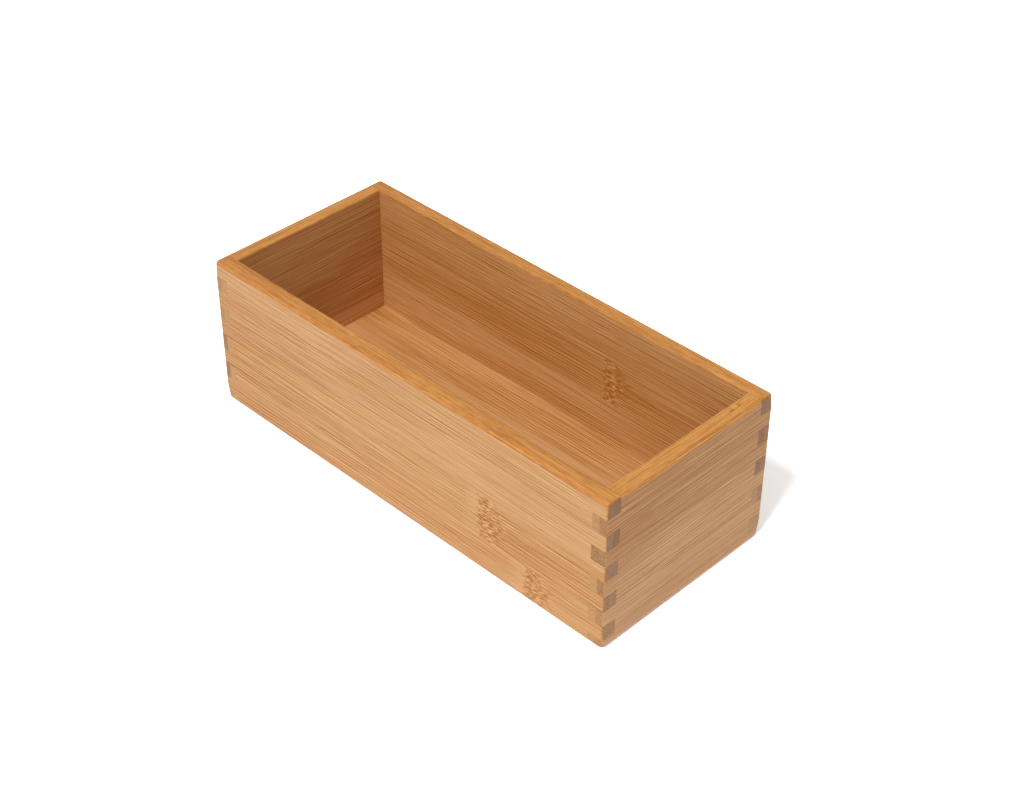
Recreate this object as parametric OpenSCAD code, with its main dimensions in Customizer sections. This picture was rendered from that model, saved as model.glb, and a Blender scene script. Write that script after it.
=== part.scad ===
// Open storage box of flat-pressed bamboo, made of five glued boards. The four walls meet in
// finger joints, cut one finger at a time down from the rim, and the bottom panel sits in a
// groove that runs round their inner faces. Once it is glued the outside is sanded and its
// edges are rounded, across boards and finger ends alike.
// The origin is the middle of the footprint, on the surface that the box stands on. X runs
// along the long walls, Y from front to back and Z up. Lengths are in millimetres.

/* [Box] */
// Outside length, along the long walls
box_l = 241.3; // [170:0.1:340]
// Outside width, across the long walls
box_w = 101.6; // [70:0.1:160]
// Outside height, from the table to the rim
box_h = 78; // [50:0.1:120]
// Thickness of the walls
wall_t = 7.7; // [6.5:0.1:11]

/* [Finger joints] */
// Height of one finger
finger_h = 8.1; // [5:0.1:13]
// Glue line between the two faces of a joint
glue_gap = 0.1; // [0.04:0.01:0.2]
// Least share of a finger that still stands by itself at the foot of the box
least_finger_share = 0.35; // [0.2:0.05:0.6]

/* [Bottom panel] */
// Thickness of the bottom panel
panel_t = 4.5; // [3:0.1:6]
// Height of the panel's underside above the table
panel_lift = 6.9; // [4:0.1:16]
// Depth of the groove that holds the panel
groove_depth = 3.6; // [2:0.1:4.5]
// Clearance over the panel in its groove
groove_fit = 0.1; // [0.05:0.01:0.3]
// Room left at each edge of the panel for it to swell
swell_gap = 0.4; // [0.2:0.05:1]

/* [Edges] */
// Radius of the outer edges at the rim
rim_r = 2; // [0.5:0.1:3.5]
// Radius of the outer edges at the foot
foot_r = 2.5; // [0.5:0.1:3.5]
// Radius of the four upright edges
corner_r = 1; // [0.4:0.1:3]
// Radius of the inner edges, at the rim and at the foot
inner_r = 0.8; // [0.3:0.1:1.5]

/* [Hidden] */
// Segments in a full turn of the round edges
$fn = 64;
// How far a cut runs on past the wood
overrun = 5;
long_colour = "#cf9f66";
end_colour = "#b88f66";
panel_colour = "#d6ac74";

inner_l = box_l - 2 * wall_t;
inner_w = box_w - 2 * wall_t;
// Fingers in a corner. The lowest one takes what is left of the height.
fingers = ceil(box_h / finger_h - least_finger_share);

// Which of the two walls at a corner a finger belongs to, counted down from 0 at the rim
function owner(i) = i % 2 == 0 ? "long wall" : "end wall";
function finger_top(i) = box_h - i * finger_h;
function finger_foot(i) = i == fingers - 1 ? 0 : finger_top(i + 1);

// A bar along X or along Y, from its end view with the height upwards
module bar_x(length) {
    rotate([90, 0, 90])
        linear_extrude(length, center = true)
            children();
}

module bar_y(length) {
    rotate([90, 0, 0])
        linear_extrude(length, center = true)
            children();
}

// What a round edge takes off a square corner, whose tip is at the origin with the wood
// towards -X and -Y
module edge_waste(r) {
    translate([-r, -r])
        difference() {
            square(r + overrun);
            circle(r);
        }
}

// End view of the finished outside: rounded at rim and foot
module outer_view(width) {
    difference() {
        translate([-width / 2, 0])
            square([width, box_h]);
        for (side = [0, 1])
            mirror([side, 0]) {
                translate([width / 2, box_h])
                    edge_waste(rim_r);
                translate([width / 2, 0])
                    mirror([0, 1])
                        edge_waste(foot_r);
            }
    }
}

// The whole outside of the glued and sanded box, as one block
module outer_block() {
    intersection() {
        bar_x(box_l)
            outer_view(box_w);
        bar_y(box_w)
            outer_view(box_l);
        linear_extrude(box_h)
            difference() {
                square([box_l, box_w], center = true);
                for (flip_x = [0, 1], flip_y = [0, 1])
                    mirror([flip_x, 0])
                        mirror([0, flip_y])
                            translate([box_l / 2, box_w / 2])
                                edge_waste(corner_r);
            }
    }
}

// End view of the space between two walls, opening out over their rounded inner edges
module inner_view(width) {
    translate([-width / 2, -overrun])
        square([width, box_h + 2 * overrun]);
    for (side = [0, 1])
        mirror([side, 0]) {
            translate([width / 2, box_h])
                inner_edge_waste();
            translate([width / 2, 0])
                mirror([0, 1])
                    inner_edge_waste();
        }
}

// What an eased inner edge takes off, with the wood towards +X and -Y
module inner_edge_waste() {
    translate([0, -inner_r])
        difference() {
            square([inner_r, inner_r + overrun]);
            translate([inner_r, 0])
                circle(inner_r);
        }
}

// The space inside the four walls, open at both ends
module inside() {
    intersection() {
        bar_x(box_l)
            inner_view(inner_w);
        bar_y(box_w)
            inner_view(inner_l);
    }
}

// The groove for the bottom panel, taken out of all four walls. It stops inside the corners,
// so none of it shows in the end of a finger.
module panel_groove() {
    translate([0, 0, panel_lift])
        linear_extrude(panel_t + groove_fit)
            square([inner_l + 2 * groove_depth, inner_w + 2 * groove_depth], center = true);
}

// Sockets down one corner, for the fingers of the other wall there. They start at [x, y], on
// the inside of the corner, and run out through it.
module sockets(other_wall, x, y) {
    for (i = [0 : fingers - 1])
        if (owner(i) == other_wall) {
            foot = finger_foot(i) - (i == fingers - 1 ? overrun : glue_gap / 2);
            top = finger_top(i) + (i == 0 ? overrun : glue_gap / 2);
            translate([x, y, foot])
                cube([wall_t + 2 * overrun, wall_t + 2 * overrun, top - foot]);
        }
}

// A long wall along the back, which runs through at its own fingers
module long_wall() {
    difference() {
        intersection() {
            outer_block();
            translate([-box_l / 2 - overrun, inner_w / 2, -overrun])
                cube([box_l + 2 * overrun, wall_t + overrun, box_h + 2 * overrun]);
        }
        inside();
        panel_groove();
        for (side = [0, 1])
            mirror([side, 0, 0])
                sockets("end wall", inner_l / 2 - glue_gap, inner_w / 2 - overrun);
    }
}

// An end wall on the right, which runs through at its own fingers
module end_wall() {
    difference() {
        intersection() {
            outer_block();
            translate([inner_l / 2, -box_w / 2 - overrun, -overrun])
                cube([wall_t + overrun, box_w + 2 * overrun, box_h + 2 * overrun]);
        }
        inside();
        panel_groove();
        for (side = [0, 1])
            mirror([0, side, 0])
                sockets("long wall", inner_l / 2 - overrun, inner_w / 2 - glue_gap);
    }
}

module front_wall() {
    color(long_colour)
        mirror([0, 1, 0])
            long_wall();
}

module back_wall() {
    color(long_colour)
        long_wall();
}

module left_wall() {
    color(end_colour)
        mirror([1, 0, 0])
            end_wall();
}

module right_wall() {
    color(end_colour)
        end_wall();
}

module bottom_panel() {
    edge = 2 * (groove_depth - swell_gap);
    color(panel_colour)
        translate([0, 0, panel_lift])
            linear_extrude(panel_t)
                square([inner_l + edge, inner_w + edge], center = true);
}

front_wall();
back_wall();
left_wall();
right_wall();
bottom_panel();
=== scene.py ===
import itertools
import math
from collections import namedtuple

import bpy
from bpy.props import FloatProperty, FloatVectorProperty, IntProperty, PointerProperty
from mathutils import Matrix, Vector


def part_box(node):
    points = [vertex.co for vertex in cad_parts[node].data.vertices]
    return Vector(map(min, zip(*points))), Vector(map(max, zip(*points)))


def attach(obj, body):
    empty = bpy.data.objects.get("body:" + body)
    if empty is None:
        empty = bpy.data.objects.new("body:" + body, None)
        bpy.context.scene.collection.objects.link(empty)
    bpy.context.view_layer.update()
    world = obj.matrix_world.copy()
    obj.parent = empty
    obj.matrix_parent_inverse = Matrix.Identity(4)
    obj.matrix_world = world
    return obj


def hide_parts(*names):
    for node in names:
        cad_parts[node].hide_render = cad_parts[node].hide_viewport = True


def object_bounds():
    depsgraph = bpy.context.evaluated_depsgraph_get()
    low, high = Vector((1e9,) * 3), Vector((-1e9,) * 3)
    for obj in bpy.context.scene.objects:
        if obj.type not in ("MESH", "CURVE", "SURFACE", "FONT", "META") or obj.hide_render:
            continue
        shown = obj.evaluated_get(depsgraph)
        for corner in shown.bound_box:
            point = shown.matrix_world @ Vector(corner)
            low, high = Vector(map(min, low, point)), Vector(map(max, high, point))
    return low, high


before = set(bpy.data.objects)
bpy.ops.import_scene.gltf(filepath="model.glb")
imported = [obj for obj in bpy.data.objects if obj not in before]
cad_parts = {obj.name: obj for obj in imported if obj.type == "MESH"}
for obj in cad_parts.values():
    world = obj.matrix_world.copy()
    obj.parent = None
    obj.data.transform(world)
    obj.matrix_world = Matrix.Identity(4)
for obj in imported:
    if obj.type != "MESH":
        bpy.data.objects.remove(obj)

CAD_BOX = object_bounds()

bl_info = {
    "name": "Bamboo storage box",
    "version": (1, 0, 0),
    "blender": (4, 5, 0),
    "location": "View3D > Sidebar > Bamboo box",
    "description": "Builds a finger-jointed storage box of flat-pressed bamboo and a plain studio round it",
    "category": "Object",
}

MM = 0.001
BOX_LOW, BOX_HIGH = CAD_BOX
WALL_LOW, WALL_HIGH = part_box("back_wall")
PANEL_LOW, PANEL_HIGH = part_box("bottom_panel")


def linear(hex_colour):
    """The linear red, green and blue of an sRGB hex value such as #cfa06a."""
    shares = [int(hex_colour[i : i + 2], 16) / 255 for i in (1, 3, 5)]
    return tuple(s / 12.92 if s <= 0.04045 else ((s + 0.055) / 1.055) ** 2.4 for s in shares)


# Sizes, colours and studio settings that a user would change


def length(name, description, default):
    """A length in metres, shown in the scene's own unit."""
    return FloatProperty(
        name=name, description=description, default=default, min=0, precision=5, unit="LENGTH"
    )


def colour(name, description, hex_colour):
    """A colour, given as an sRGB hex value."""
    return FloatVectorProperty(
        name=name, description=description, default=linear(hex_colour), min=0, max=1, subtype="COLOR"
    )


class BoxSizes(bpy.types.PropertyGroup):
    """Sizes of the box. The ones that the frame holds come from it."""

    box_l: length("Length", "Outside length, along the long walls", BOX_HIGH.x - BOX_LOW.x)
    box_w: length("Width", "Outside width, across the long walls", BOX_HIGH.y - BOX_LOW.y)
    box_h: length("Height", "Outside height, from the table to the rim", BOX_HIGH.z - BOX_LOW.z)
    wall_t: length("Wall thickness", "Thickness of the four walls", WALL_HIGH.y - WALL_LOW.y)
    finger_h: length("Finger height", "Height of one finger of the corner joints", 8.1 * MM)
    fingers: IntProperty(name="Fingers", description="Fingers down one corner", default=10, min=2)
    glue_gap: length("Glue line", "Gap between the two faces of a joint", 0.05 * MM)
    panel_t: length("Panel thickness", "Thickness of the bottom", PANEL_HIGH.z - PANEL_LOW.z)
    panel_lift: length("Panel lift", "Height of the bottom's underside", PANEL_LOW.z - BOX_LOW.z)
    panel_l: length("Panel length", "Length of the bottom, tongues included", PANEL_HIGH.x - PANEL_LOW.x)
    panel_w: length("Panel width", "Width of the bottom, tongues included", PANEL_HIGH.y - PANEL_LOW.y)
    panel_r: length("Panel edges", "Radius of the edges of the bottom", 0.4 * MM)
    groove_depth: length("Groove depth", "Depth of the groove that holds the bottom", 3.6 * MM)
    groove_fit: length("Groove clearance", "Clearance over the bottom in its groove", 0.1 * MM)
    rim_r: length("Rim radius", "Radius of the outer edges at the rim", 2 * MM)
    foot_r: length("Foot radius", "Radius of the outer edges at the foot", 2.5 * MM)
    corner_r: length("Corner radius", "Radius of the upright edges, half way up", 1 * MM)
    inner_r: length("Inner radius", "Radius of the inner edges, at the rim and at the foot", 0.8 * MM)


class BambooFinish(bpy.types.PropertyGroup):
    """Colours of the bamboo, as cut along its face, its side and its end."""

    face_pale: colour("Face, pale", "Wood between the fibres on the wide faces", "#dcaa76")
    face_honey: colour("Face, middle", "Middle tone of the wide faces", "#c89158")
    face_brown: colour("Face, brown", "Dense fibres on the wide faces", "#ab6a1c")
    warm_tint: colour("Warm tint", "What turns straw-coloured wood orange", "#fffaee")
    edge_pale: colour("Edge, pale", "Sides of the strips, on rim and foot", "#df9c50")
    edge_brown: colour("Edge, brown", "Dense fibres in the sides of the strips", "#a75f14")
    end_pale: colour("End grain, pale", "Wood between the fibre ends", "#c4945e")
    end_brown: colour("End grain, brown", "Fibre ends", "#8d5d36")


class StudioSettings(bpy.types.PropertyGroup):
    """Camera, lamp and floor."""

    camera_place: FloatVectorProperty(
        name="Camera", description="Place of the camera", default=(0.4818, -0.4731, 0.5525),
        unit="LENGTH",
    )
    camera_aim: FloatVectorProperty(
        name="Aim", description="Point that the camera looks at", default=(0.0143, 0.0049, 0.039),
        unit="LENGTH",
    )
    camera_roll: FloatProperty(
        name="Roll", description="Turn of the camera about its own axis", default=math.radians(0.44),
        subtype="ANGLE",
    )
    camera_lens: FloatProperty(
        name="Lens", description="Focal length in millimetres", default=66.96, unit="CAMERA"
    )
    camera_near: length("Nearest", "Distance from which the camera sees", 20 * MM)
    key_from: FloatVectorProperty(
        name="Key light", description="Direction that the key light comes from",
        default=(0.08, -0.57, 0.81), subtype="DIRECTION",
    )
    key_size: FloatProperty(
        name="Key size", description="Angle that the key light fills, seen from the box",
        default=math.radians(14), subtype="ANGLE",
    )
    key_strength: FloatProperty(name="Key strength", description="Strength of the key light", default=2.1)
    surroundings: colour("Surroundings", "Light from all round the box", "#adadad")
    paper: colour("Paper", "What the floor throws back onto the box", "#f3f3f3")
    floor_glow: FloatProperty(name="Floor glow", description="What the floor shows unlit", default=0.05)
    floor_lit: FloatProperty(name="Floor light", description="Share that the lamps add to it", default=1.9)
    floor_tint: colour("Floor tint", "Cool tint that offsets the light off the wood", "#f8fcff")


# Boards as meshes

# A board is cut from a grid of cells, as joints are cut with a saw, and its grid is then bent
# round at the edges, as an edge is sanded.

LONG, END = "long wall", "end wall"

# Steps of a round edge, and cells in half the length of a board
EDGE_STEPS = 5
BOARD_PARTS = 8

# Height over which the upright corners get rounder towards the rim and the foot
CORNER_BLEND = 6 * MM

# Width of the cells in which the easing of two walls meets, a length that is added to depths
# so that a depth of 0 can divide, and the distance under which two cuts are one
MITRE = 0.03 * MM
TINY = MITRE / 100
ONE_CUT = MITRE / 10

# Angle from which the edge between two faces is sharp
SHARP_ANGLE = math.radians(32)

# A block's half sizes, the heights of its foot and its rim, and the radii of its outer edges
Block = namedtuple("Block", "half_l half_w low high rim_r foot_r corner_r")


def smooth(share):
    """A share between 0 and 1, with a soft start and end."""
    share = min(max(share, 0), 1)
    return share * share * (3 - 2 * share)


def round_steps(radius):
    """Distances in from a face at which the grid is cut for an edge of this radius."""
    return [radius * (1 - math.tan(math.pi / 4 * i / EDGE_STEPS)) for i in range(EDGE_STEPS + 1)]


def round_off(one, other, radius):
    """A point of a square edge, moved to the round one. Its distances from the edge's two faces
    are given and returned. Points as deep as the radius stay."""
    a, b = radius - one, radius - other
    if a <= 0 or b <= 0:
        return one, other
    scale = max(a, b) / math.hypot(a, b)
    return radius - a * scale, radius - b * scale


def corner_radius(block, z):
    """The upright corners are sanded rounder towards the rim and the foot."""
    near_rim = smooth(1 - (block.high - block.rim_r - z) / CORNER_BLEND)
    near_foot = smooth(1 - (z - block.low - block.foot_r) / CORNER_BLEND)
    more = near_rim * (block.rim_r - block.corner_r) + near_foot * (block.foot_r - block.corner_r)
    return block.corner_r + max(more, 0)


def sanded(point, block):
    """A point of the square block, moved to where it lies once the outer edges are rounded."""
    x, y, z = point
    in_x, in_y = block.half_l - abs(x), block.half_w - abs(y)
    depth = min(in_x, in_y)
    corner = corner_radius(block, z)
    near_rim = block.high - z < z - block.low
    if near_rim:
        new_depth, up = round_off(depth, block.high - z, block.rim_r)
        z = block.high - up
    else:
        new_depth, up = round_off(depth, z - block.low, block.foot_r)
        z = block.low + up
    in_corner = in_x < corner and in_y < corner
    if in_corner:
        in_x, in_y = round_off(in_x, in_y, corner)
        scale = (corner - new_depth) / (corner - depth)
        in_x = corner - (corner - in_x) * scale
        in_y = corner - (corner - in_y) * scale
    elif in_x < in_y:
        in_x += new_depth - depth
    else:
        in_y += new_depth - depth
    return math.copysign(block.half_l - in_x, x), math.copysign(block.half_w - in_y, y), z


def eased(point, sizes):
    """A point of a wall, moved to where it lies once the inner edges at rim and foot are eased.
    The easing of two walls meets in a mitre."""
    x, y, z = point
    out_x = abs(x) - (sizes.box_l / 2 - sizes.wall_t)
    out_y = abs(y) - (sizes.box_w / 2 - sizes.wall_t)
    depth = max(out_x, out_y)
    near_rim = z > sizes.box_h / 2
    new_depth, up = round_off(depth, sizes.box_h - z if near_rim else z, sizes.inner_r)
    grown = new_depth - depth
    if grown <= 0:
        return point
    share_x, share_y = (min(max((out + TINY) / (depth + TINY), 0), 1) for out in (out_x, out_y))
    return (
        math.copysign(abs(x) + grown * share_x, x),
        math.copysign(abs(y) + grown * share_y, y),
        sizes.box_h - up if near_rim else up,
    )


def merged(cuts):
    """The places of the cuts in order, without repeats."""
    kept = []
    for cut in sorted(cuts):
        if not kept or cut - kept[-1] > ONE_CUT:
            kept.append(cut)
    return kept


def grid_mesh(name, grid, is_wood, place):
    """A closed mesh round the cells of a grid whose middle is wood. The grid holds the cuts along
    X, Y and Z, and place moves its corners."""
    cells = set()
    for cell in itertools.product(*(range(len(cuts) - 1) for cuts in grid)):
        middle = [(cuts[i] + cuts[i + 1]) / 2 for cuts, i in zip(grid, cell)]
        if is_wood(*middle):
            cells.add(cell)
    corners, faces = {}, []
    for cell, axis, side in itertools.product(sorted(cells), range(3), (0, 1)):
        beyond = list(cell)
        beyond[axis] += 2 * side - 1
        if tuple(beyond) in cells:
            continue
        face = []
        for step_b, step_c in ((0, 0), (1, 0), (1, 1), (0, 1)):
            corner = list(cell)
            corner[axis] += side
            corner[(axis + 1) % 3] += step_b
            corner[(axis + 2) % 3] += step_c
            face.append(corners.setdefault(tuple(corner), len(corners)))
        faces.append(face if side else face[::-1])
    points = [place([cuts[i] for cuts, i in zip(grid, corner)]) for corner in corners]
    mesh = bpy.data.meshes.new(name)
    mesh.from_pydata(points, [], faces)
    mesh.set_sharp_from_angle(angle=SHARP_ANGLE)
    mesh.validate()
    return mesh


def finger_spans(sizes):
    """Foot, top and owner of each finger, counted down from the rim. The lowest one ends at the
    foot of the box."""
    spans = []
    for i in range(sizes.fingers):
        top = sizes.box_h - i * sizes.finger_h
        foot = top - sizes.finger_h if i < sizes.fingers - 1 else 0
        spans.append((foot, top, END if i % 2 else LONG))
    return spans


def groove_span(sizes):
    """Foot and top of the groove that holds the bottom."""
    return sizes.panel_lift, sizes.panel_lift + sizes.panel_t + sizes.groove_fit


def cuts_through(sizes, half):
    """Cuts through the thickness of a wall whose outer face is half a box from the middle."""
    inner = half - sizes.wall_t
    skin = round_steps(sizes.rim_r) + round_steps(sizes.foot_r) + round_steps(sizes.corner_r)
    lip = round_steps(sizes.inner_r) + [MITRE, sizes.groove_depth]
    return [half - step for step in skin] + [inner + step for step in lip]


def cuts_along(half):
    """Cuts that part half the length of a board."""
    return [half * i / BOARD_PARTS for i in range(BOARD_PARTS)]


def cuts_up(sizes):
    """Cuts up a wall: its groove, its edges, the blend of its corners and its fingers."""
    inner_edge, half_gap = round_steps(sizes.inner_r), sizes.glue_gap / 2
    up_from_foot = round_steps(sizes.foot_r) + inner_edge
    down_from_rim = round_steps(sizes.rim_r) + inner_edge
    for i in range(EDGE_STEPS):
        blend = CORNER_BLEND * (i + 1) / EDGE_STEPS
        up_from_foot.append(sizes.foot_r + blend)
        down_from_rim.append(sizes.rim_r + blend)
    cuts = [*groove_span(sizes), *up_from_foot, *(sizes.box_h - step for step in down_from_rim)]
    for foot, _, _ in finger_spans(sizes)[:-1]:
        cuts += [foot - half_gap, foot + half_gap]
    return merged(cuts)


def wall_grid(sizes, wall, side):
    """The grid that one wall is cut from."""
    half_run, half_across = sizes.box_l / 2, sizes.box_w / 2
    if wall == END:
        half_run, half_across = half_across, half_run
    inner = half_run - sizes.wall_t
    run = cuts_through(sizes, half_run) + [inner - sizes.glue_gap] + cuts_along(inner)
    run = merged(run + [-cut for cut in run])
    through = merged(side * cut for cut in cuts_through(sizes, half_across))
    return (*((run, through) if wall == LONG else (through, run)), cuts_up(sizes))


def wall_mesh(name, sizes, wall, side):
    """One wall with its fingers, sockets and groove. Side is -1 for front or left, 1 for back or
    right."""
    half_l, half_w = sizes.box_l / 2, sizes.box_w / 2
    inner_l, inner_w = half_l - sizes.wall_t, half_w - sizes.wall_t
    sockets = [(foot, top) for foot, top, owner in finger_spans(sizes) if owner != wall]
    half_gap = sizes.glue_gap / 2
    groove_foot, groove_top = groove_span(sizes)
    block = Block(half_l, half_w, 0, sizes.box_h, sizes.rim_r, sizes.foot_r, sizes.corner_r)

    def is_wood(x, y, z):
        out_x, out_y = abs(x) - inner_l, abs(y) - inner_w
        towards_end = out_x if wall == LONG else out_y
        if towards_end > -sizes.glue_gap:
            if any(foot - half_gap < z < top + half_gap for foot, top in sockets):
                return False
        in_groove = groove_foot < z < groove_top and max(out_x, out_y) < sizes.groove_depth
        return not in_groove

    def place(point):
        return eased(sanded(point, block), sizes)

    return grid_mesh(name, wall_grid(sizes, wall, side), is_wood, place)


def panel_mesh(name, sizes):
    """The bottom, with eased edges."""
    low, high = sizes.panel_lift, sizes.panel_lift + sizes.panel_t
    radius = sizes.panel_r
    block = Block(sizes.panel_l / 2, sizes.panel_w / 2, low, high, radius, radius, radius)
    steps = round_steps(radius)
    grid = []
    for half in (block.half_l, block.half_w):
        cuts = [half - step for step in steps] + cuts_along(half)
        grid.append(merged(cuts + [-cut for cut in cuts]))
    grid.append(merged([low + step for step in steps] + [high - step for step in steps]))
    return grid_mesh(name, grid, lambda x, y, z: True, lambda point: sanded(point, block))


# Flat-pressed bamboo

# A strip reaches up to top, in millimetres. Its tone runs from 0, pale, to 1, brown, and its
# warmth from 0, straw, to 1, orange. Streaks is how strongly its fibres show, end how dark its
# end grain is, and drift how much browner one end of the strip is than the other, towards the
# object's plus side. Knuckle is where along the board its knuckle lies, as a share, with 0 for
# none, and marked is how strongly that knuckle shows.
Strip = namedtuple("Strip", "top tone warmth streaks end drift knuckle marked", defaults=[0, 0, 1])

# A board of two plies. Axes are the object's axes along the grain, across the strips and
# through the board. Side is the tone of the strips' sides, as the rim shows them, and end
# warmth the warmth of its end grain. The seed picks its grain. Plies holds the strips of each
# ply, from low to high, the shown ply first.
Board = namedtuple("Board", "node slot axes side end_warmth seed plies")

# Where the topmost strip of a wall ends, and the one at the back of the bottom
RIM = round(BOX_HIGH.z / MM, 1)
PANEL_EDGE = round(PANEL_HIGH.y / MM, 1)

# The end column of the long walls, whose end grain the right face shows, darkens towards the rim: partly
# the wood's own tone, partly painted shade that darkens the right face towards its top.
FRONT = Board("front_wall", "bamboo_long_walls", "XZY", 0.38, 0.0, 1.0, (
    [
        Strip(18.2, 0.4, 0.6, 0.9, 0.44, drift=-0.16, knuckle=0.818),
        Strip(41.5, 0.45, 0.6, 1, 0.58, drift=-0.06, knuckle=0.707),
        Strip(64.7, 0.3, 0.1, 0.9, 0.62, drift=-0.2),
        Strip(RIM, 0.34, 0, 0.8, 0.8, drift=-0.1),
    ],
    [
        Strip(7, 0.5, 0.2, 0.7, 0.2),
        Strip(30, 0.5, 0.5, 0.8, 0.46, drift=0.1, knuckle=0.31, marked=0.7),
        Strip(51, 0.4, 0, 0.7, 0.65),
        Strip(RIM, 0.46, 0.3, 0.8, 0.88, drift=-0.1, knuckle=0.725, marked=0.7),
    ],
))
BACK = Board("back_wall", "bamboo_long_walls", "XZY", 0.4, 0.0, 2.0, (
    [
        Strip(15, 0.4, 0.5, 0.8, 0.2, drift=0.1),
        Strip(38.3, 0.5, 0.7, 0.9, 0.44, knuckle=0.36, marked=0.8),
        Strip(61.5, 0.36, 0, 0.8, 0.62, drift=0.1),
        Strip(RIM, 0.44, 0.3, 0.7, 0.72, drift=-0.1),
    ],
    [
        Strip(8, 0.5, 0.2, 0.7, 0.1),
        Strip(31.5, 0.42, 0, 0.8, 0.15),
        Strip(54.8, 0.5, 0.6, 0.8, 0.75, drift=-0.1, knuckle=0.64, marked=0.55),
        Strip(RIM, 0.4, 0.2, 0.8, 0.85),
    ],
))
# The right wall's shown strips are browner in their upper half: partly the wood's own tone, partly painted
# shade that darkens the right face towards its top.
RIGHT = Board("right_wall", "bamboo_end_walls", "YZX", 0.2, 0.9, 3.0, (
    [
        Strip(20.7, 0.36, 0.2, 0.6, 0.3),
        Strip(45, 0.42, 0, 1.1, 0.5),
        Strip(69.6, 0.72, 0, 1, 0.48),
        Strip(RIM, 0.52, 0, 0.9, 0.48, drift=-0.06),
    ],
    [
        Strip(17, 0.5, 0.4, 0.7, 0),
        Strip(41.5, 0.45, 0, 0.8, 0),
        Strip(60, 0.55, 0.6, 0.8, 0.52),
        Strip(RIM, 0.45, 0.2, 0.7, 0.12, knuckle=0.76, marked=0.6),
    ],
))
LEFT = Board("left_wall", "bamboo_end_walls", "YZX", 0.35, 0.3, 4.0, (
    [
        Strip(8, 0.4, 0.2, 0.7, 0.1),
        Strip(24, 0.5, 0.6, 0.9, 0.6, knuckle=0.62, marked=0.8),
        Strip(41.5, 0.4, 0.2, 0.8, 0.6, drift=0.1),
        Strip(65.9, 0.36, 0, 0.8, 0.26),
        Strip(RIM, 0.5, 0.4, 0.8, 0.34),
    ],
    [
        Strip(20, 0.4, 0, 0.7, 0),
        Strip(44.4, 0.5, 0.5, 0.8, 0),
        Strip(68.8, 0.42, 0.1, 0.8, 0.08),
        Strip(RIM, 0.46, 0.3, 0.7, 0.26),
    ],
))
BOTTOM = Board("bottom_panel", "bamboo_bottom", "XYZ", 0.4, 0.0, 5.0, (
    [
        Strip(-24, 0.4, 0.2, 0.7, 0.4, drift=0.1),
        Strip(-0.8, 0.48, 0.6, 0.9, 0.5, knuckle=0.62, marked=0.6),
        Strip(22.4, 0.33, 0, 0.7, 0.3),
        Strip(PANEL_EDGE, 0.44, 0.3, 0.8, 0.5, drift=-0.1),
    ],
    [
        Strip(-34, 0.44, 0.3, 0.8, 0.4),
        Strip(-10.8, 0.38, 0, 0.7, 0.5),
        Strip(12.4, 0.5, 0.6, 0.8, 0.3),
        Strip(35.6, 0.4, 0.1, 0.7, 0.4),
        Strip(PANEL_EDGE, 0.46, 0.3, 0.8, 0.5),
    ],
))

# How a board is cut, in millimetres: its length along the grain, the span that its strips
# fill, the place of its shown face and the thickness of a ply
Cut = namedtuple("Cut", "length span face ply")

# What a place on a board is told of its strip. Middle is the middle of the strip's height, as a
# share of the board's. Drift is half the strip's, and a ramp holds it with NO_DRIFT added,
# because a ramp holds nothing below 0.
Facts = namedtuple("Facts", "tone warmth streaks end drift knuckle marked middle")
NO_DRIFT = 0.5

# A pattern of the grain. Its size is in millimetres along, across and through the board, its
# levels are where the noise is palest and brownest, and amount is how far these are apart in
# tone. A paired pattern is the difference of two noises that lie BESIDE each other, as a share
# of its size, which leaves only lines. Twist distorts the noise.
Grain = namedtuple("Grain", "size levels amount paired twist", defaults=[False, 0])
BESIDE = (0, 0.8, 0)
NOISE_MIDDLE = 0.5

# Clouds of tone, bands and lines. Single fibres are far too fine to show, so the finest lines
# are drawn as coarse as they need to show.
CLOUD = Grain((120, 24, 20), (0.25, 0.75), 0.4)
BAND = Grain((80, 2.2, 3), (0.25, 0.75), 0.2)
LINE = Grain((55, 0.9, 0.8), (-0.16, 0.16), 0.4, paired=True)
FIBRE = Grain((36, 0.45, 0.4), (-0.16, 0.16), 1.05, paired=True)

# Bundles of fibres, which are streaks on the faces and dots in the end grain
BUNDLE = Grain((60, 1.0, 1.0), (0.2, 0.48), 0.18)

# Short patches in the sides of the strips, and the jumbled flecks of a knuckle on face and side
MOTTLE = Grain((5, 1, 0.8), (0.3, 0.7), 0.28)
FLECK = Grain((3.0, 0.5, 2), (0.42, 0.58), 3.4, twist=0.5)
SIDE_FLECK = Grain((2.8, 0.4, 0.4), (0.42, 0.58), 1.7)

# How far apart in the noise the strips' grain is taken from, how far its fibres wander off a
# straight line and the size of their bends, all in millimetres
CULM_SPREAD = 400
WANDER = (0, 0.7, 2)
WANDER_SIZE = (90, 22, 22)

# Places past a knuckle's edge, in millimetres: where the calm wood before it starts, where the
# edge itself lies, where the flecks thin out at the middle of the strip, and where the browner
# wood behind them ends
CALM_EDGE = (-8.5, -6.5)
KNUCKLE_EDGE = (-1, 1.6)
FLECKS_TO = (6, 17)
TAIL_TO = (16, 40)

# How ragged these places are, the size of their teeth, and how much sooner the flecks thin out
# half a strip off its middle, in millimetres. A wall is about six half strips high.
RAGGED = 9
RAGGED_SIZE = (7, 0.8, 2)
KNUCKLE_BOW = 7
HALF_STRIPS = 6

# How much browner a knuckle is before its edge, in its flecks and behind them, how much more
# orange its flecks are, and how much fainter the streaks are before the edge and in the flecks
CALM_TONE = -0.06
FLECKS_TONE = 0.36
TAIL_TONE = 0.08
FLECKS_WARMTH = 0.5
CALM_HUSH = 0.5
FLECKS_HUSH = 0.6

# How strongly the face's clouds join its streaks in the sides of the strips, how strongly both
# show there, and how much stronger a strip's drift does
SIDE_CLOUD = 0.3
SIDE_STREAKS = 0.4
SIDE_DRIFT = 1.8

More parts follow.
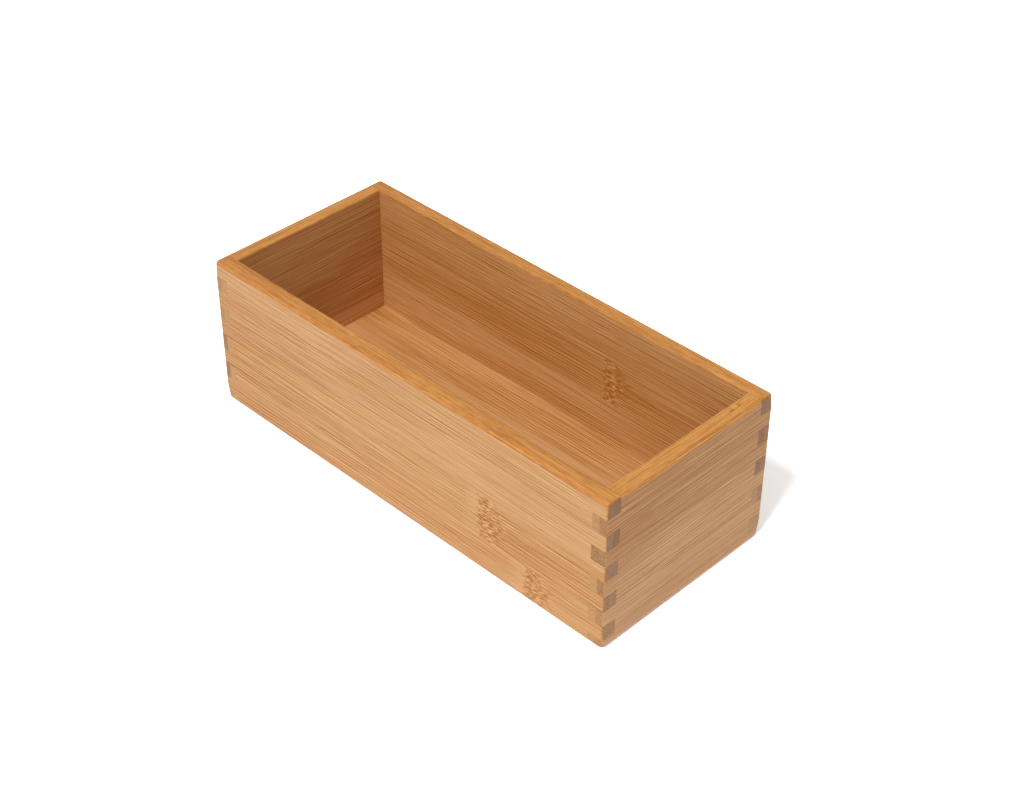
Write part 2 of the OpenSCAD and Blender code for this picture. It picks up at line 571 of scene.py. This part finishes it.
# Painted shade: how much darker the sides of the strips are made where they face down at the foot,
# and on the round edges, which the key light lights more than the flat
PAINTED_FOOT_SHADE = 0.5
PAINTED_ROUND_SHADE = 0.12

# How much browner the ends of the bundles are than the wood between them, and what shifts both
END_DOTS = 0.45
END_SHIFT = -0.02

# Parts of the surface's normal over which a face turns to the sides of the strips and to end
# grain, a flat side to a round one with its painted shade, and an upward side to a downward one with the
# foot's painted shade
TO_SIDE = (0.02, 0.35)
TO_END = (0.6, 0.9)
TO_ROUND = (0.98, 0.8)
TO_FOOT = (-0.2, -0.5)

# The lacquer's roughness over pale and over brown wood, and how far the fibres stand out
LACQUER_IOR = 1.45
LACQUER_ROUGHNESS = (0.4, 0.48)
RELIEF = 0.02 * MM
RELIEF_STRENGTH = 0.5


def add(tree, kind, inputs=(), stops=(), **settings):
    """Adds a node with its settings and a ramp's stops, then sets or links its inputs, given in
    order or by name. A node given as an input means its first output."""
    node = tree.nodes.new("ShaderNode" + kind)
    for name, value in settings.items():
        setattr(node, name, value)
    for i, (position, shade) in enumerate(stops):
        ramp = node.color_ramp.elements
        stop = ramp[i] if i < 2 else ramp.new(position)
        stop.position = position
        stop.color = (*shade, 1)[:4]
    sockets = [socket for socket in node.inputs if socket.enabled]
    if isinstance(inputs, dict):
        by_name = {socket.name: socket for socket in reversed(sockets)}
        pairs = [(by_name[name], value) for name, value in inputs.items()]
    else:
        pairs = list(zip(sockets, inputs))
    for socket, value in pairs:
        if isinstance(value, bpy.types.Node):
            value = next(output for output in value.outputs if output.enabled)
        if isinstance(value, bpy.types.NodeSocket):
            tree.links.new(value, socket)
        elif value is not None:
            if not isinstance(value, (int, float)):
                value = (*value, 1)[: len(socket.default_value)]
            socket.default_value = value
    return node


def ply_table(strips, cut):
    """Where each strip of a ply starts, as a share of the board's height, and its facts."""
    low, high = cut.span
    table, foot = [], low
    for strip in strips:
        middle = ((foot + min(strip.top, high)) / 2 - low) / (high - low)
        drift = strip.drift / 2 + NO_DRIFT
        marked = strip.marked if strip.knuckle else 0
        facts = Facts(
            strip.tone, strip.warmth, strip.streaks, strip.end, drift, strip.knuckle, marked, middle
        )
        table.append(((foot - low) / (high - low), facts))
        foot = strip.top
    return table


def strip_facts(tree, board, cut, up, inner_ply):
    """What the strips' table says at the height up, a share of the board's. Two ramps hold the
    table of a ply, with a flat stop for each strip, and a stop holds four of its facts."""
    told = []
    for four in (slice(0, 4), slice(4, 8)):
        ramps = []
        for strips in board.plies:
            stops = [(start, facts[four]) for start, facts in ply_table(strips, cut)]
            ramp = add(tree, "ValToRGB", [up], stops=stops)
            ramp.color_ramp.interpolation = "CONSTANT"
            ramps.append(ramp)
        three = add(tree, "Mix", [inner_ply, *ramps], data_type="RGBA")
        fourth = add(tree, "Mix", [inner_ply, *(ramp.outputs["Alpha"] for ramp in ramps)])
        told += [*add(tree, "SeparateColor", [three]).outputs, fourth]
    facts = Facts(*told)
    return facts._replace(drift=add(tree, "Math", [facts.drift, NO_DRIFT], operation="SUBTRACT"))


def grain_places(tree, board, facts, inner_ply, place):
    """Where in the noise the grain of a place is taken from, and the same with fibres that
    wander. Each strip is cut from another culm, so its grain is taken from another place."""
    chance = add(tree, "CombineXYZ", [facts.middle, inner_ply, board.seed])
    chance = add(tree, "TexWhiteNoise", [chance], noise_dimensions="3D").outputs["Color"]
    grain = add(tree, "CombineXYZ", place)
    grain = add(tree, "VectorMath", [chance, [CULM_SPREAD] * 3, grain], operation="MULTIPLY_ADD")
    wander = add(tree, "Mapping", {"Vector": grain, "Scale": WANDER_SIZE}, vector_type="TEXTURE")
    wander = add(tree, "TexNoise", {"Vector": wander, "Scale": 1, "Detail": 1}).outputs["Color"]
    return grain, add(tree, "VectorMath", [wander, WANDER, grain], operation="MULTIPLY_ADD")


def knuckle_parts(tree, facts, cut, along, up, grain):
    """The parts of a knuckle, from 0 to 1: its flecks behind a sharp edge, the calm wood before
    that edge and the browner wood behind it."""
    ragged = add(tree, "Mapping", {"Vector": grain, "Scale": RAGGED_SIZE}, vector_type="TEXTURE")
    ragged = add(tree, "TexNoise", {"Vector": ragged, "Scale": 1, "Detail": 1})
    ragged = add(tree, "Math", [ragged, NOISE_MIDDLE], operation="SUBTRACT")
    past = add(tree, "Math", [facts.knuckle, cut.length, -cut.length / 2], operation="MULTIPLY_ADD")
    past = add(tree, "Math", [along, past], operation="SUBTRACT")
    past = add(tree, "Math", [ragged, RAGGED, past], operation="MULTIPLY_ADD")
    starts = add(tree, "MapRange", [past, *KNUCKLE_EDGE, 0, facts.marked], interpolation_type="SMOOTHSTEP")

    off_middle = add(tree, "Math", [up, facts.middle], operation="SUBTRACT")
    off_middle = add(tree, "Math", [off_middle, HALF_STRIPS], operation="MULTIPLY")
    bow = add(tree, "Math", [off_middle, off_middle], operation="MULTIPLY")
    past_bow = add(tree, "Math", [bow, KNUCKLE_BOW, past], operation="MULTIPLY_ADD")
    past_bow = add(tree, "Math", [ragged, RAGGED, past_bow], operation="MULTIPLY_ADD")
    thins = add(tree, "MapRange", [past_bow, *FLECKS_TO, 1, 0], interpolation_type="SMOOTHSTEP")
    zone = add(tree, "Math", [starts, thins], operation="MULTIPLY")

    calm = add(tree, "Math", [ragged, RAGGED, past], operation="MULTIPLY_ADD")
    calm = add(tree, "MapRange", [calm, *CALM_EDGE, 0, facts.marked])
    calm = add(tree, "Math", [calm, starts], operation="SUBTRACT")
    tail = add(tree, "MapRange", [past, *TAIL_TO, 1, 0])
    tail = add(tree, "Math", [starts, tail], operation="MULTIPLY")
    return zone, calm, tail


def grain_pattern(tree, shape, at):
    """One pattern of the grain, from half its amount below 0, pale, to half above, brown."""
    settings = {"Scale": 1, "Detail": 1, "Distortion": shape.twist}
    scaled = add(tree, "Mapping", {"Vector": at, "Scale": shape.size}, vector_type="TEXTURE")
    noise = add(tree, "TexNoise", {"Vector": scaled, **settings})
    if shape.paired:
        beside = add(tree, "VectorMath", [scaled, BESIDE], operation="ADD")
        beside = add(tree, "TexNoise", {"Vector": beside, **settings})
        noise = add(tree, "Math", [noise, beside], operation="SUBTRACT")
    half = shape.amount / 2
    return add(tree, "MapRange", [noise, *shape.levels, -half, half], interpolation_type="SMOOTHSTEP")


def bundle_dots(tree, fibre):
    """The bundles of fibres, from 0 between them to 1 at their middles."""
    scaled = add(tree, "Mapping", {"Vector": fibre, "Scale": BUNDLE.size}, vector_type="TEXTURE")
    dots = add(tree, "TexVoronoi", {"Vector": scaled, "Scale": 1})
    return add(tree, "MapRange", [dots, *BUNDLE.levels, 1, 0], interpolation_type="SMOOTHSTEP")


def fibre_streaks(tree, fibre, bundle):
    """The lines along the grain, and the streaks that they, the bundles and the bands make."""
    lines = [grain_pattern(tree, LINE, fibre), grain_pattern(tree, FIBRE, fibre)]
    lines = add(tree, "Math", lines, operation="ADD")
    streaks = add(tree, "Math", [bundle, BUNDLE.amount, lines], operation="MULTIPLY_ADD")
    return lines, add(tree, "Math", [streaks, grain_pattern(tree, BAND, fibre)], operation="ADD")


def satin_lacquer(tree, tint, shade, lines, flecks):
    """Satin lacquer over sanded wood. It gives the eye a soft sheen, a little duller on brown
    wood, in which the lines of fibre stand out by a hair and a knuckle's flecks lie lower."""
    gloss = add(tree, "MapRange", [shade, 0, 1, *LACQUER_ROUGHNESS])
    relief = add(tree, "Math", [lines, flecks], operation="SUBTRACT")
    bump = add(tree, "Bump", {"Height": relief, "Strength": RELIEF_STRENGTH, "Distance": RELIEF})
    return add(tree, "BsdfPrincipled", {
        "Base Color": tint, "Roughness": gloss, "IOR": LACQUER_IOR, "Normal": bump})


def flat_pressed_bamboo(board, cut, finish):
    """Flat-pressed bamboo, sanded and satin-lacquered. To the eye it is a warm honey wood of wide
    strips, each with its own tone, full of fine straight streaks where the cut meets the fibre
    bundles. Knuckles cross a strip as a short band of jumbled flecks, the strips' sides are more
    orange and the end grain is greyer and darker, with a dot for each bundle. The lacquer gives
    it a soft sheen."""
    material = bpy.data.materials.new("flat_pressed_bamboo_" + board.node)
    material.use_nodes = True
    tree = material.node_tree
    tree.nodes.clear()

    place = add(tree, "TexCoord")
    in_mm = add(tree, "VectorMath", {"Vector": place.outputs["Object"], "Scale": 1 / MM}, operation="SCALE")
    axes = add(tree, "SeparateXYZ", [in_mm])
    along, across, through = (axes.outputs[axis] for axis in board.axes)
    depth = add(tree, "Math", [through, cut.face], operation="SUBTRACT")
    depth = add(tree, "Math", [depth], operation="ABSOLUTE")
    inner_ply = add(tree, "Math", [depth, cut.ply], operation="GREATER_THAN")
    up = add(tree, "MapRange", [across, *cut.span, 0, 1])
    run = add(tree, "MapRange", [along, -cut.length / 2, cut.length / 2, -1, 1])
    facts = strip_facts(tree, board, cut, up, inner_ply)
    grain, fibre = grain_places(tree, board, facts, inner_ply, [along, across, depth])
    zone, calm, tail = knuckle_parts(tree, facts, cut, along, up, grain)
    bundle = bundle_dots(tree, fibre)
    cloud = grain_pattern(tree, CLOUD, fibre)
    lines, streaks = fibre_streaks(tree, fibre, bundle)

    # The faces: a tone for each strip, its streaks and its knuckle
    flecks = add(tree, "Math", [grain_pattern(tree, FLECK, grain), zone], operation="MULTIPLY")
    loud = add(tree, "Math", [calm, -CALM_HUSH, 1], operation="MULTIPLY_ADD")
    loud = add(tree, "Math", [zone, -FLECKS_HUSH, loud], operation="MULTIPLY_ADD")
    loud = add(tree, "Math", [loud, facts.streaks], operation="MULTIPLY")
    shade = add(tree, "Math", [streaks, loud, facts.tone], operation="MULTIPLY_ADD")
    shade = add(tree, "Math", [shade, cloud], operation="ADD")
    shade = add(tree, "Math", [facts.drift, run, shade], operation="MULTIPLY_ADD")
    shade = add(tree, "Math", [calm, CALM_TONE, shade], operation="MULTIPLY_ADD")
    shade = add(tree, "Math", [tail, TAIL_TONE, shade], operation="MULTIPLY_ADD")
    shade = add(tree, "Math", [shade, flecks], operation="ADD")
    shade = add(tree, "Math", [zone, FLECKS_TONE, shade], operation="MULTIPLY_ADD")
    face = add(tree, "ValToRGB", [shade], stops=[
        (0.0, finish.face_pale), (0.5, finish.face_honey), (1.0, finish.face_brown)])
    warmth = add(tree, "Math", [zone, FLECKS_WARMTH, facts.warmth], operation="MULTIPLY_ADD")
    face = add(tree, "Mix", [warmth, face, finish.warm_tint], data_type="RGBA", blend_type="MULTIPLY")

    # The sides of the strips, on rim and foot, with painted shade where they face down and on their round
    # edges
    normal = add(tree, "SeparateXYZ", [place.outputs["Normal"]])
    to_side = add(tree, "Math", [normal.outputs[board.axes[1]]], operation="ABSOLUTE")
    foot_shade = add(tree, "MapRange", [normal.outputs["Z"], *TO_FOOT, 0, PAINTED_FOOT_SHADE])
    is_round = add(tree, "MapRange", [to_side, *TO_ROUND, 0, 1])
    drift = add(tree, "Math", [facts.drift, SIDE_DRIFT], operation="MULTIPLY")
    mottle, side_fleck = grain_pattern(tree, MOTTLE, fibre), grain_pattern(tree, SIDE_FLECK, grain)
    side = add(tree, "Math", [cloud, SIDE_CLOUD, streaks], operation="MULTIPLY_ADD")
    side = add(tree, "Math", [side, SIDE_STREAKS, board.side], operation="MULTIPLY_ADD")
    side = add(tree, "Math", [side, foot_shade], operation="ADD")
    side = add(tree, "Math", [drift, run, side], operation="MULTIPLY_ADD")
    side = add(tree, "Math", [is_round, PAINTED_ROUND_SHADE, side], operation="MULTIPLY_ADD")
    side = add(tree, "Math", [side, mottle], operation="ADD")
    side = add(tree, "Math", [side_fleck, zone, side], operation="MULTIPLY_ADD")
    side = add(tree, "Mix", [side, finish.edge_pale, finish.edge_brown], data_type="RGBA")

    # The end grain, as the fingers show it
    end = add(tree, "Math", [bundle, END_DOTS, facts.end], operation="MULTIPLY_ADD")
    end = add(tree, "Math", [end, END_SHIFT], operation="ADD")
    end = add(tree, "Mix", [end, finish.end_pale, finish.end_brown], data_type="RGBA")
    warmed = [board.end_warmth, end, finish.warm_tint]
    end = add(tree, "Mix", warmed, data_type="RGBA", blend_type="MULTIPLY")

    # Which way the surface looks decides what is cut: face, side or end of the strips
    to_end = add(tree, "Math", [normal.outputs[board.axes[0]]], operation="ABSOLUTE")
    is_side = add(tree, "MapRange", [to_side, *TO_SIDE, 0, 1], interpolation_type="SMOOTHSTEP")
    is_end = add(tree, "MapRange", [to_end, *TO_END, 0, 1], interpolation_type="SMOOTHSTEP")
    tint = add(tree, "Mix", [is_side, face, side], data_type="RGBA")
    tint = add(tree, "Mix", [is_end, tint, end], data_type="RGBA")
    add(tree, "OutputMaterial", [satin_lacquer(tree, tint, shade, lines, flecks)])
    return material


# Studio

# Radius of the flat floor, radius and height of the backdrop's top edge, in metres
FLOOR_FLAT = 2.2
FLOOR_REACH = 4.0
FLOOR_RISE = 1.3

# Points round the floor, and rings from its flat part to the top edge
FLOOR_SPOKES = 96
FLOOR_RINGS = 16


def matte_sweep(studio):
    """Matt white paper sweep. To the eye it is plain white, with the box's soft shadow on it."""
    material = bpy.data.materials.new("matte_paper_sweep")
    material.use_nodes = True
    tree = material.node_tree
    tree.nodes.clear()
    rays = add(tree, "LightPath")
    paper = add(tree, "BsdfDiffuse", {"Color": studio.paper})
    glow = add(tree, "Emission", {"Color": (1, 1, 1), "Strength": studio.floor_glow})
    lit = add(tree, "BsdfDiffuse", {"Color": [studio.floor_lit * share for share in studio.floor_tint]})
    shown = add(tree, "AddShader", [glow, lit])
    white = add(tree, "Emission", {"Color": (1, 1, 1), "Strength": 1.0})
    seen_in = [rays.outputs["Is Glossy Ray"], rays.outputs["Is Transmission Ray"]]
    mirrored = add(tree, "Math", seen_in, operation="MAXIMUM")
    mixed = add(tree, "MixShader", [mirrored, paper, white])
    mixed = add(tree, "MixShader", [rays.outputs["Is Camera Ray"], mixed, shown])
    add(tree, "OutputMaterial", [mixed])
    return material


def sweep_mesh():
    """A flat round floor whose outer part rises, so that it is also the backdrop."""
    points = [(0, 0, 0)]
    for ring in range(1, FLOOR_RINGS + 1):
        past_flat = (ring - 1) / (FLOOR_RINGS - 1)
        radius = FLOOR_FLAT + (FLOOR_REACH - FLOOR_FLAT) * math.sin(past_flat * math.pi / 2)
        height = FLOOR_RISE * (1 - math.cos(past_flat * math.pi / 2))
        for spoke in range(FLOOR_SPOKES):
            angle = 2 * math.pi * spoke / FLOOR_SPOKES
            points.append((radius * math.cos(angle), radius * math.sin(angle), height))
    faces = []
    for spoke in range(FLOOR_SPOKES):
        after = (spoke + 1) % FLOOR_SPOKES
        faces.append((0, 1 + spoke, 1 + after))
        for ring in range(FLOOR_RINGS - 1):
            low, high = 1 + ring * FLOOR_SPOKES, 1 + (ring + 1) * FLOOR_SPOKES
            faces.append((low + spoke, high + spoke, high + after, low + after))
    mesh = bpy.data.meshes.new("paper_sweep")
    mesh.from_pydata(points, [], faces)
    mesh.shade_smooth()
    return mesh


# Operators


def put(context, name, data):
    """Makes an object of a mesh, lamp or camera and links it to the scene."""
    piece = bpy.data.objects.new(name, data)
    context.scene.collection.objects.link(piece)
    return piece


def put_board(context, board, mesh, cut):
    """Puts a board of bamboo in place of its node in the frame."""
    mesh.materials.append(flat_pressed_bamboo(board, cut, context.scene.bamboo_finish))
    piece = put(context, mesh.name, mesh)
    normals = piece.modifiers.new("Flat faces", "WEIGHTED_NORMAL")
    normals.keep_sharp = True
    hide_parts(board.node)
    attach(piece, "root")


def put_wall(context, board, wall, side):
    """Puts one wall, of two plies, with its grain along it."""
    sizes = context.scene.box_sizes
    run, across = (sizes.box_l, sizes.box_w) if wall == LONG else (sizes.box_w, sizes.box_l)
    mesh = wall_mesh(board.node + "_board", sizes, wall, side)
    span, face = (0, sizes.box_h / MM), side * across / 2 / MM
    put_board(context, board, mesh, Cut(run / MM, span, face, sizes.wall_t / 2 / MM))


class LongWalls(bpy.types.Operator):
    """Adds the front and the back wall, which own the topmost finger of every corner"""

    bl_idname = "bamboo_box.long_walls"
    bl_label = "Long walls"

    def execute(self, context):
        put_wall(context, FRONT, LONG, -1)
        put_wall(context, BACK, LONG, 1)
        return {"FINISHED"}


class EndWalls(bpy.types.Operator):
    """Adds the left and the right wall, whose fingers fill the sockets of the long walls"""

    bl_idname = "bamboo_box.end_walls"
    bl_label = "End walls"

    def execute(self, context):
        put_wall(context, LEFT, END, -1)
        put_wall(context, RIGHT, END, 1)
        return {"FINISHED"}


class BottomPanel(bpy.types.Operator):
    """Adds the bottom, which lies in the groove of the four walls"""

    bl_idname = "bamboo_box.bottom_panel"
    bl_label = "Bottom"

    def execute(self, context):
        sizes = context.scene.box_sizes
        mesh = panel_mesh(BOTTOM.node + "_board", sizes)
        half_mm = sizes.panel_w / 2 / MM
        face = (sizes.panel_lift + sizes.panel_t) / MM
        cut = Cut(sizes.panel_l / MM, (-half_mm, half_mm), face, sizes.panel_t / 2 / MM)
        put_board(context, BOTTOM, mesh, cut)
        return {"FINISHED"}


class Studio(bpy.types.Operator):
    """Adds the white sweep, the key light, the light from all round and the camera"""

    bl_idname = "bamboo_box.studio"
    bl_label = "Studio"

    def execute(self, context):
        scene, studio = context.scene, context.scene.studio_settings
        scene.view_settings.view_transform = "Standard"
        sweep = sweep_mesh()
        sweep.materials.append(matte_sweep(studio))
        put(context, "paper_sweep", sweep)

        lamp = bpy.data.lights.new("key_light", "SUN")
        lamp.energy = studio.key_strength
        lamp.angle = studio.key_size
        key = put(context, "key_light", lamp)
        key.rotation_mode = "QUATERNION"
        key.rotation_quaternion = Vector(studio.key_from).to_track_quat("Z", "Y")

        world = bpy.data.worlds.new("surroundings")
        world.use_nodes = True
        world.node_tree.nodes.clear()
        light = add(world.node_tree, "Background", {"Color": studio.surroundings, "Strength": 1.0})
        add(world.node_tree, "OutputWorld", [light])
        scene.world = world

        camera = put(context, "camera", bpy.data.cameras.new("camera"))
        camera.data.lens = studio.camera_lens
        camera.data.clip_start = studio.camera_near
        place, aim = Vector(studio.camera_place), Vector(studio.camera_aim)
        turned = (aim - place).to_track_quat("-Z", "Y").to_matrix().to_4x4()
        rolled = Matrix.Rotation(studio.camera_roll, 4, "Z")
        camera.matrix_world = Matrix.Translation(place) @ turned @ rolled
        scene.camera = camera
        return {"FINISHED"}


class BambooBoxPanel(bpy.types.Panel):
    """Builds the box and its studio, one group of pieces at a time"""

    bl_idname = "VIEW3D_PT_bamboo_box"
    bl_label = "Bamboo box"
    bl_space_type = "VIEW_3D"
    bl_region_type = "UI"
    bl_category = "Bamboo box"

    def draw(self, context):
        for operator in OPERATORS:
            self.layout.operator(operator.bl_idname)
        for group in (context.scene.box_sizes, context.scene.bamboo_finish, context.scene.studio_settings):
            box = self.layout.box()
            for name in group.bl_rna.properties.keys():
                if name not in ("rna_type", "name"):
                    box.prop(group, name)


OPERATORS = (LongWalls, EndWalls, BottomPanel, Studio)
CLASSES = (BoxSizes, BambooFinish, StudioSettings, *OPERATORS, BambooBoxPanel)


def register():
    for cls in CLASSES:
        bpy.utils.register_class(cls)
    bpy.types.Scene.box_sizes = PointerProperty(type=BoxSizes)
    bpy.types.Scene.bamboo_finish = PointerProperty(type=BambooFinish)
    bpy.types.Scene.studio_settings = PointerProperty(type=StudioSettings)


def unregister():
    del bpy.types.Scene.studio_settings
    del bpy.types.Scene.bamboo_finish
    del bpy.types.Scene.box_sizes
    for cls in reversed(CLASSES):
        bpy.utils.unregister_class(cls)


def main():
    """Builds everything."""
    register()
    bpy.ops.bamboo_box.long_walls()
    bpy.ops.bamboo_box.end_walls()
    bpy.ops.bamboo_box.bottom_panel()
    bpy.ops.bamboo_box.studio()


if __name__ == "__main__":
    main()
